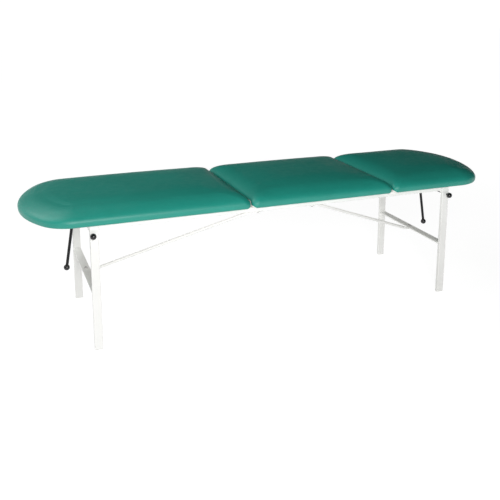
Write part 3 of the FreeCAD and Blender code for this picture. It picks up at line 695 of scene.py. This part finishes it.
def inflate(holder, held, seams):
    mesh = holder.data
    shares = freedom(mesh, held, seams)
    normals = [vert.normal.copy() for vert in mesh.vertices]
    for vert, normal, share in zip(mesh.vertices, normals, shares):
        vert.co -= normal * padCloth["start"] * share
    start = [vert.co.copy() for vert in mesh.vertices]
    pins = holder.vertex_groups.new(name="stapled")
    pins.add(sorted(held), 1.0, "REPLACE")
    cloth = holder.modifiers.new("cover", "CLOTH")
    cloth.settings.vertex_group_mass = "stapled"
    cloth.settings.use_pressure = True
    cloth.settings.uniform_pressure_force = padCloth["pressure"]
    cloth.settings.effector_weights.gravity = 0.0
    for name in ("tension_stiffness", "compression_stiffness", "shear_stiffness"):
        setattr(cloth.settings, name, padCloth["stiffness"])
    cloth.settings.bending_stiffness = padCloth["bending"]
    cloth.collision_settings.use_collision = False
    cloth.point_cache.frame_start = 1
    cloth.point_cache.frame_end = padCloth["frames"]
    for step in range(1, padCloth["frames"] + 1):
        scene.frame_set(step)
    graph = bpy.context.evaluated_depsgraph_get()
    swollen = [vert.co.copy() for vert in holder.evaluated_get(graph).data.vertices]
    holder.modifiers.remove(cloth)
    holder.vertex_groups.clear()
    scene.frame_set(1)
    # the foam gives way less and less, and evens the cover out
    moves = numpy.array(swollen) - numpy.array(start)
    moves *= padCloth["reach"] / (padCloth["reach"] + numpy.linalg.norm(moves, axis=1, keepdims=True))
    ends = numpy.array([edge.vertices[:] for edge in mesh.edges])
    degree = numpy.bincount(ends.ravel(), minlength=len(moves))[:, None]
    for _ in range(padCloth["evening"]):
        near = numpy.zeros_like(moves)
        numpy.add.at(near, ends[:, 0], moves[ends[:, 1]])
        numpy.add.at(near, ends[:, 1], moves[ends[:, 0]])
        moves = (moves + near / degree) / 2
    moves *= numpy.array(shares)[:, None]
    for vert, spot, move in zip(mesh.vertices, start, moves):
        vert.co = spot + Vector(move)
    return float(numpy.linalg.norm(moves, axis=1).max())


def closeOpening(mesh):
    # the face against the board, left out until now because it has too many corners to subdivide
    build = bmesh.new()
    build.from_mesh(mesh)
    bmesh.ops.holes_fill(build, edges=[edge for edge in build.edges if edge.is_boundary])
    bmesh.ops.recalc_face_normals(build, faces=build.faces)
    build.to_mesh(mesh)
    build.free()


def makePad(end, body):
    sizes = sizesOf(end)
    outline = middleOutline if end == "middle" else endOutline
    mesh, held = padMesh(end + "_pad", sizes, outline, end == "foot")
    seams = {"foot": [sizes["high"].x], "head": [sizes["low"].x]}.get(end, [sizes["low"].x, sizes["high"].x])
    holder = bpy.data.objects.new(end + "_cover", mesh)
    scene.collection.objects.link(holder)
    print(end, "pad swelled up to", round(inflate(holder, held, seams) * 1000, 1), "mm")
    smooth = holder.modifiers.new("smooth", "SUBSURF")
    smooth.levels = smooth.render_levels = 1
    mesh = applied(holder, end + "_pad")
    closeOpening(mesh)
    pad = newPiece(end + "_pad", rounded(mesh, padShape["sharp"]), vinyl, body)
    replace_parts(pad, end + "_cushion")
    print(end, "pad:", len(mesh.polygons), "faces")
    return sizes, outline


# geometry node trees for what repeats

def setInputs(modifier, values):
    for item in modifier.node_group.interface.items_tree:
        if item.item_type == "SOCKET" and item.in_out == "INPUT" and item.name in values:
            modifier[item.identifier] = values[item.name]


def grown(name, source, tree, values):
    holder = bpy.data.objects.new(name + "_source", source)
    scene.collection.objects.link(holder)
    modifier = holder.modifiers.new(name, "NODES")
    modifier.node_group = tree
    setInputs(modifier, values)
    return applied(holder, name)


def placeOn(tree, given, made, placed):
    # one shape at every point, as a plain mesh with its finish
    rows = addNode(tree, "GeometryNodeInstanceOnPoints", placed)
    real = addNode(tree, "GeometryNodeRealizeInstances", {"Geometry": out(rows, "Instances")})
    painted = addNode(tree, "GeometryNodeSetMaterial",
                      {"Geometry": out(real, "Geometry"), "Material": out(given, "Material")})
    fill(tree, made, {"Geometry": out(painted, "Geometry")})
    return tree


def turnedBy(tree, given, rotation, low, high):
    amount = addNode(tree, "FunctionNodeRandomValue", {"Min": low, "Max": high, "Seed": out(given, "Seed")})
    angles = addNode(tree, "ShaderNodeCombineXYZ", {"Z": out(amount, "Value")})
    extra = addNode(tree, "FunctionNodeEulerToRotation", {"Euler": out(angles, "Vector")})
    turned = addNode(tree, "FunctionNodeRotateRotation",
                     {"Rotation": rotation, "Rotate By": out(extra, "Rotation")}, rotation_space="LOCAL")
    return out(turned, "Rotation")


def pathPoints(tree, given, axis):
    line = addNode(tree, "GeometryNodeMeshToCurve", {"Mesh": out(given, "Geometry")})
    spaced = addNode(tree, "GeometryNodeResampleCurve",
                     {"Curve": out(line, "Curve"), "Length": out(given, "Pitch")}, mode="LENGTH")
    tangent = addNode(tree, "GeometryNodeInputTangent")
    facing = addNode(tree, "FunctionNodeAlignRotationToVector",
                     {"Vector": out(tangent, "Tangent")}, axis=axis)
    return out(spaced, "Curve"), out(facing, "Rotation")


pathInputs = {"Geometry": "Geometry", "Pitch": "Float", "Size": "Vector", "Turn": "Float", "Seed": "Int",
              "Material": "Material"}
treeOutput = {"Geometry": "Geometry"}
stapleSizes = {"inset": 0.0185, "pitch": 0.038, "size": Vector((0.0105, 0.0013, 0.0008)), "turn": 0.22,
               "seed": 4, "bend": 6.0, "seamAngle": 60}


def makeStapleTree():
    tree, given, made = newGroup("stapleRow", "GeometryNodeTree", pathInputs, treeOutput)
    points, facing = pathPoints(tree, given, "X")
    lowest = mathNode(tree, "MULTIPLY", out(given, "Turn"), -1.0)
    wire = addNode(tree, "GeometryNodeMeshCube",
                   {"Size": out(given, "Size"), "Vertices X": 6, "Vertices Y": 3, "Vertices Z": 3})
    # the crown's ends bend up into the board
    spot = addNode(tree, "GeometryNodeInputPosition")
    axes = addNode(tree, "ShaderNodeSeparateXYZ", {"Vector": out(spot, "Position")})
    size = addNode(tree, "ShaderNodeSeparateXYZ", {"Vector": out(given, "Size")})
    share = mathNode(tree, "DIVIDE", mathNode(tree, "ABSOLUTE", out(axes, "X"), 0.0), out(size, "X"))
    bend = mathNode(tree, "POWER", mathNode(tree, "MULTIPLY", share, 2.0), stapleSizes["bend"])
    sink = addNode(tree, "ShaderNodeCombineXYZ", {"Z": mathNode(tree, "MULTIPLY", bend, out(size, "Z"))})
    bent = addNode(tree, "GeometryNodeSetPosition",
                   {"Geometry": out(wire, "Mesh"), "Offset": out(sink, "Vector")})
    turned = turnedBy(tree, given, facing, lowest, out(given, "Turn"))
    return placeOn(tree, given, made,
                   {"Points": points, "Instance": out(bent, "Geometry"), "Rotation": turned})


weldSizes = {"pitch": 0.0016, "radius": 0.0021, "flat": 0.62, "least": 0.86, "most": 1.1, "turn": 0.5,
             "seed": 11, "setBack": 0.002, "edge": 0.0006}


def makeBeadTree():
    # a weld bead: overlapping flattened drops along the joint
    tree, given, made = newGroup("weldBead", "GeometryNodeTree", pathInputs, treeOutput)
    points, facing = pathPoints(tree, given, "Z")
    drop = addNode(tree, "GeometryNodeMeshUVSphere", {"Segments": 10, "Rings": 6, "Radius": 1.0})
    smooth = addNode(tree, "GeometryNodeSetShadeSmooth", {"Geometry": out(drop, "Mesh")})
    amount = addNode(tree, "FunctionNodeRandomValue",
                     {"Min": weldSizes["least"], "Max": weldSizes["most"], "Seed": out(given, "Seed")})
    scaled = addNode(tree, "ShaderNodeVectorMath",
                     {"Vector": out(given, "Size"), "Scale": out(amount, "Value")}, operation="SCALE")
    turned = turnedBy(tree, given, facing, 0.0, out(given, "Turn"))
    return placeOn(tree, given, made, {"Points": points, "Instance": out(smooth, "Geometry"),
                                       "Scale": scaled.outputs[0], "Rotation": turned})


def makeScrewTree():
    tree, given, made = newGroup("screwSet", "GeometryNodeTree",
                                 {"Geometry": "Geometry", "Screw": "Object", "Seed": "Int",
                                  "Material": "Material"}, treeOutput)
    screw = addNode(tree, "GeometryNodeObjectInfo", {"Object": out(given, "Screw")})
    way = addNode(tree, "GeometryNodeInputNamedAttribute", {"Name": "facing"}, data_type="FLOAT_VECTOR")
    facing = addNode(tree, "FunctionNodeAlignRotationToVector", {"Vector": out(way, "Attribute")}, axis="Z")
    turned = turnedBy(tree, given, out(facing, "Rotation"), 0.0, math.pi / 2)
    return placeOn(tree, given, made, {"Points": out(given, "Geometry"), "Instance": out(screw, "Geometry"),
                                       "Rotation": turned})


def pathMesh(name, paths):
    mesh = bpy.data.meshes.new(name)
    points, edges = [], []
    for path in paths:
        first = len(points)
        points += [tuple(spot) for spot in path]
        edges += [(first + index, first + index + 1) for index in range(len(path) - 1)]
    mesh.from_pydata(points, edges, [])
    return mesh


def makeStaples(tree, end, body, sizes, outline):
    sides = outline(sizes, *evenly(stapleSizes["inset"]))
    flip = -1 if end == "foot" else 1
    level = sizes["low"].z - padShape["vinylThickness"] - stapleSizes["size"].z / 2
    rows = [sides[1], sides[3]] if end == "middle" else [chain(sides[1], sides[2], sides[3])]
    paths = [[(flip * spot.x, spot.y, level) for spot, angle in row
              if angle > stapleSizes["seamAngle"]] for row in rows]
    mesh = grown(end + "_staples", pathMesh("stapleLine", paths), tree,
                 {"Pitch": stapleSizes["pitch"], "Size": stapleSizes["size"], "Turn": stapleSizes["turn"],
                  "Seed": stapleSizes["seed"], "Material": zinc})
    newPiece(end + "_staples", mesh, zinc, body)
    print(end, "staples:", len(mesh.polygons), "faces")


def weldPaths():
    paths = []
    back, edge = weldSizes["setBack"], weldSizes["edge"]
    for end, x in endSides.items():
        for side, y in (("near", -1), ("far", 1)):
            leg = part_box(f"leg_{end}_{side}")
            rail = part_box("rail_" + side)
            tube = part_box("end_tube_" + end)
            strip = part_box("cross_strip_" + end)
            inside = rail[1].x if x > 0 else rail[0].x
            outside = leg[1].x if x > 0 else leg[0].x
            face = tube[1].y if y > 0 else tube[0].y
            outer = rail[1].y if y > 0 else rail[0].y
            # rail to leg: under the rail and up its inner side
            paths.append([(inside, outer - y * back, rail[0].z), (inside, face, rail[0].z),
                          (inside, face, rail[1].z - back)])
            # end tube to leg: down one side, under it and up the other
            first, last = inside + x * edge, outside - x * edge
            paths.append([(first, face, rail[0].z), (first, face, tube[0].z), (last, face, tube[0].z),
                          (last, face, tube[1].z - back)])
            for level in (strip[0].z, strip[1].z):
                paths.append([(inside + x * back, face, level), (outside - x * back, face, level)])
    return paths


def makeWelds(tree):
    size = Vector((weldSizes["radius"], weldSizes["radius"], weldSizes["radius"] * weldSizes["flat"]))
    mesh = grown("weld_beads", pathMesh("weldLine", weldPaths()), tree,
                 {"Pitch": weldSizes["pitch"], "Size": size, "Turn": weldSizes["turn"],
                  "Seed": weldSizes["seed"], "Material": whitePaint})
    newPiece("weld_beads", mesh, whitePaint, "frame")
    print("weld beads:", len(mesh.polygons), "faces")


screwShape = {
    "sides": 24,
    "profile": ((0.14, 1.0), (0.34, 0.99), (0.56, 0.95), (0.66, 0.92), (0.88, 0.72), (1.0, 0.34), (1.0, 0.0)),
    "crossReach": 0.56,        # the recess's arms reach this share of the radius, from its core
    "crossCore": 0.2,
    "crossDepth": 0.55,
    "shank": 0.004,
    "sharp": 35,
}
woodScrew = {"head": 0.00325, "height": 0.0016, "shank": 0.00175}
railScrew = {"head": 0.0045, "height": 0.0025, "shank": 0.0025}
hingeLeaf = {"thickness": 0.0015, "screws": 6}


def screwMesh(size):
    # pan head with a cross recess, seated at the origin and facing up
    build = bmesh.new()
    sides = screwShape["sides"]
    rings = []
    for share, level in (*screwShape["profile"], (size["shank"] / size["head"], 0.0)):
        ring = []
        for index, (x, y) in enumerate(circle(size["head"] * share, sides)):
            inArm = index % (sides // 4) == 0 and share <= screwShape["crossReach"]
            cut = screwShape["crossDepth"] if inArm or share < screwShape["crossCore"] else 0.0
            ring.append(build.verts.new((x, y, size["height"] * (level - cut))))
        rings.append(ring)
    rings.append([build.verts.new((vert.co.x, vert.co.y, -screwShape["shank"])) for vert in rings[-1]])
    ringFaces(build, rings[::-1])
    build.faces.new(rings[0])
    build.faces.new(rings[-1][::-1])
    bmesh.ops.recalc_face_normals(build, faces=build.faces)
    return rounded(meshFrom("screw", build), screwShape["sharp"])


def makeScrews(tree, name, body, nodes, seats, size):
    points = bpy.data.meshes.new(name + "_places")
    points.from_pydata([tuple(seat) for seat, _ in seats], [], [])
    facing = points.attributes.new("facing", "FLOAT_VECTOR", "POINT")
    for item, (_, way) in zip(facing.data, seats):
        item.vector = way
    screw = bpy.data.objects.new("screw", screwMesh(size))
    scene.collection.objects.link(screw)
    mesh = grown(name, points, tree, {"Screw": screw, "Seed": len(seats), "Material": zinc})
    bpy.data.objects.remove(screw)
    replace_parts(newPiece(name, mesh, zinc, body), *nodes)
    print(name + ":", len(seats), "screws")


def spreadEvenly(low, high, count):
    return [low + (high - low) * (index + 0.5) / count for index in range(count)]


def hingeSeats(end, moving):
    # heads of the leaf screws stand in the seam, between the two leaves
    x = endSides[end] if moving else -endSides[end]
    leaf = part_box(f"hinge_{'moving' if moving else 'fixed'}_{end}")
    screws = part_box("hinge_screws_" + end)
    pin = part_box("hinge_pin_" + end)
    seam = (pin[0].x + pin[1].x) / 2
    gap = abs((leaf[1].x if x > 0 else leaf[0].x) - seam)
    seat = seam + x * (gap - hingeLeaf["thickness"])
    level = (screws[0].z + screws[1].z) / 2
    return [(Vector((seat, y, level)), Vector((-x, 0, 0)))
            for y in spreadEvenly(leaf[0].y, leaf[1].y, hingeLeaf["screws"])]


def cornerSeats(screws, size, level):
    # four screws that face down, at the corners of their node's box
    low, high = screws
    return [(Vector((x, y, level)), Vector((0, 0, -1)))
            for x in (low.x + size["head"], high.x - size["head"])
            for y in (low.y + size["head"], high.y - size["head"])]


def bracketSeats(end):
    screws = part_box("bracket_screws_" + end)
    return cornerSeats(screws, woodScrew, screws[0].z + woodScrew["height"])


def railSeats():
    return cornerSeats(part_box("rail_screws"), railScrew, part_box("rail_near")[0].z)


# ball knobs

knobShape = {
    "flat": 0.80,              # cut off at this share of the radius
    "steps": 20,
    "sides": 40,
    "ridge": 0.00012,
    "ridgeWidth": 0.03,
    "collarInset": 0.0006,
    "collarHeight": 0.0002,
    "strutBore": 0.0055,
    "screwBore": 0.004,
    "sharp": 40,
}


def ballMesh(name, centre, radius, axis, bore):
    # a moulded ball with a fine parting ridge, cut flat where the rod enters
    build = bmesh.new()
    steps, sides = knobShape["steps"], knobShape["sides"]
    cutTurn = math.acos(knobShape["flat"])
    rings = []
    for step in range(1, steps + 1):
        turn = math.pi - (math.pi - cutTurn) * step / steps
        bulge = knobShape["ridge"] * math.exp(-((turn - math.pi / 2) / knobShape["ridgeWidth"]) ** 2)
        rings.append(((radius + bulge) * math.sin(turn), (radius + bulge) * math.cos(turn)))
    collar = radius * knobShape["flat"] + knobShape["collarHeight"]
    rings.append((radius * math.sin(cutTurn) - knobShape["collarInset"], collar))
    rings += [(bore, collar), (bore, 0.0)]
    turnTo = Vector((0, 0, 1)).rotation_difference(axis).to_matrix().to_4x4()
    place = Matrix.Translation(centre) @ turnTo
    loops = [[build.verts.new(place @ Vector((x, y, level))) for x, y in circle(ringRadius, sides)]
             for ringRadius, level in rings]
    pole = build.verts.new(place @ Vector((0, 0, -radius)))
    for index in range(sides):
        build.faces.new((pole, loops[0][(index + 1) % sides], loops[0][index]))
    ringFaces(build, loops)
    build.faces.new(loops[-1])
    bmesh.ops.recalc_face_normals(build, faces=build.faces)
    return rounded(meshFrom(name, build), knobShape["sharp"])


def makeBalls():
    pivots = {joint["name"]: Vector(joint["pos_m"]) for joint in frame["joints"]}
    for end in endSides:
        for node, body, bore in ((f"strut_ball_{end}", f"{end}_strut", "strutBore"),
                                 (f"clamp_knob_{end}", f"{end}_clamp", "screwBore")):
            low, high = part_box(node)
            centre = (low + high) / 2
            radius = (high.y - low.y) / 2
            axis = pivots[f"{end}_strut_swing"] - centre if node.startswith("strut") else Vector((0, 1, 0))
            name = node + "_moulded"
            mesh = ballMesh(name, centre, radius, axis.normalized(), knobShape[bore])
            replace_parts(newPiece(name, mesh, knobPlastic, body), node)
    print("ball knobs made")


# stage

stageLook = {
    "floorSize": 40.0,
    "floorDrop": 0.0003,
    "shade": 0.22,             # the floor's own colour, which takes the shadow
    "glowNear": 0.92,
    "glowFar": 1.0,
    "bounce": 0.64,            # what the floor sends back to the object
    "nearReach": 1.2,
    "farReach": 3.6,
    "world": 0.012,
    "wallHeight": 2.0,
    "aim": (0.0, 0.0, 0.4),    # where the lamps point
}
lamps = {
    "key": {"place": (-0.85, -2.9, 1.35), "size": 0.9, "power": 70.0},
    "top": {"place": (-2.1, 0.7, 2.3), "size": 2.4, "power": 50.0},
}


def paleSurface():
    finish = bpy.data.materials.new("pale_stage")
    finish.use_nodes = True
    tree = finish.node_tree
    tree.nodes.clear()
    matt = addNode(tree, "ShaderNodeBsdfDiffuse", {"Color": (*[stageLook["shade"]] * 3, 1.0)})
    # the glow reaches plain white away from the object, so that only its shadow shows
    place = addNode(tree, "ShaderNodeTexCoord")
    reach = addNode(tree, "ShaderNodeVectorMath", {"Vector": out(place, "Object")}, operation="LENGTH")
    level = mapped(tree, out(reach, "Value"), stageLook["nearReach"], stageLook["farReach"],
                   stageLook["glowNear"], stageLook["glowFar"], "SMOOTHSTEP")
    ray = addNode(tree, "ShaderNodeLightPath")
    mirrored = mathNode(tree, "MAXIMUM", out(ray, "Is Glossy Ray"), out(ray, "Is Transmission Ray"))
    shown = mathNode(tree, "MAXIMUM", out(ray, "Is Camera Ray"), mirrored)
    seen = mixed(tree, shown, stageLook["bounce"], level)
    glow = addNode(tree, "ShaderNodeEmission", {"Strength": seen})
    both = addNode(tree, "ShaderNodeAddShader")
    tree.links.new(matt.outputs[0], both.inputs[0])
    tree.links.new(glow.outputs[0], both.inputs[1])
    addNode(tree, "ShaderNodeOutputMaterial", {"Surface": both.outputs[0]})
    return finish


def makeStage():
    half = stageLook["floorSize"] / 2
    build = bmesh.new()
    corners = ((-1, -1), (1, -1), (1, 1), (-1, 1))
    floor = [build.verts.new((x * half, y * half, -stageLook["floorDrop"])) for x, y in corners]
    wall = [build.verts.new((v.co.x, v.co.y, stageLook["wallHeight"])) for v in floor]
    build.faces.new(floor)
    for index in range(4):
        after = (index + 1) % 4
        build.faces.new((floor[after], floor[index], wall[index], wall[after]))
    stage = bpy.data.objects.new("pale_floor", meshFrom("pale_floor", build))
    stage.data.materials.append(paleSurface())
    scene.collection.objects.link(stage)
    world = bpy.data.worlds.new("studio")
    world.use_nodes = True
    fill(world.node_tree, world.node_tree.nodes["Background"],
         {"Color": (1.0, 1.0, 1.0, 1.0), "Strength": stageLook["world"]})
    scene.world = world
    aim = Vector(stageLook["aim"])
    for name, lamp in lamps.items():
        data = bpy.data.lights.new(name, "AREA")
        data.size = lamp["size"]
        data.energy = lamp["power"]
        light = bpy.data.objects.new(name, data)
        light.location = lamp["place"]
        light.rotation_euler = (aim - Vector(lamp["place"])).to_track_quat("-Z", "Y").to_euler()
        scene.collection.objects.link(light)
    print("stage and", len(lamps), "lamps")


placeCamera()
makeStage()
dressCadNodes()
stapleTree = makeStapleTree()
padBody = {"foot": "foot_section", "middle": "frame", "head": "head_section"}
for padName, bodyName in padBody.items():
    padSizes, padOutline = makePad(padName, bodyName)
    makeStaples(stapleTree, padName, bodyName, padSizes, padOutline)
makeWelds(makeBeadTree())
screwTree = makeScrewTree()
makeScrews(screwTree, "rail_screw_set", "frame", ["rail_screws"], railSeats(), railScrew)
makeScrews(screwTree, "fixed_leaf_screw_set", "frame", ["hinge_screws_middle"],
           hingeSeats("foot", False) + hingeSeats("head", False), woodScrew)
for endName in endSides:
    makeScrews(screwTree, endName + "_screw_set", endName + "_section",
               [f"hinge_screws_{endName}", f"bracket_screws_{endName}"],
               hingeSeats(endName, True) + bracketSeats(endName), woodScrew)
makeBalls()
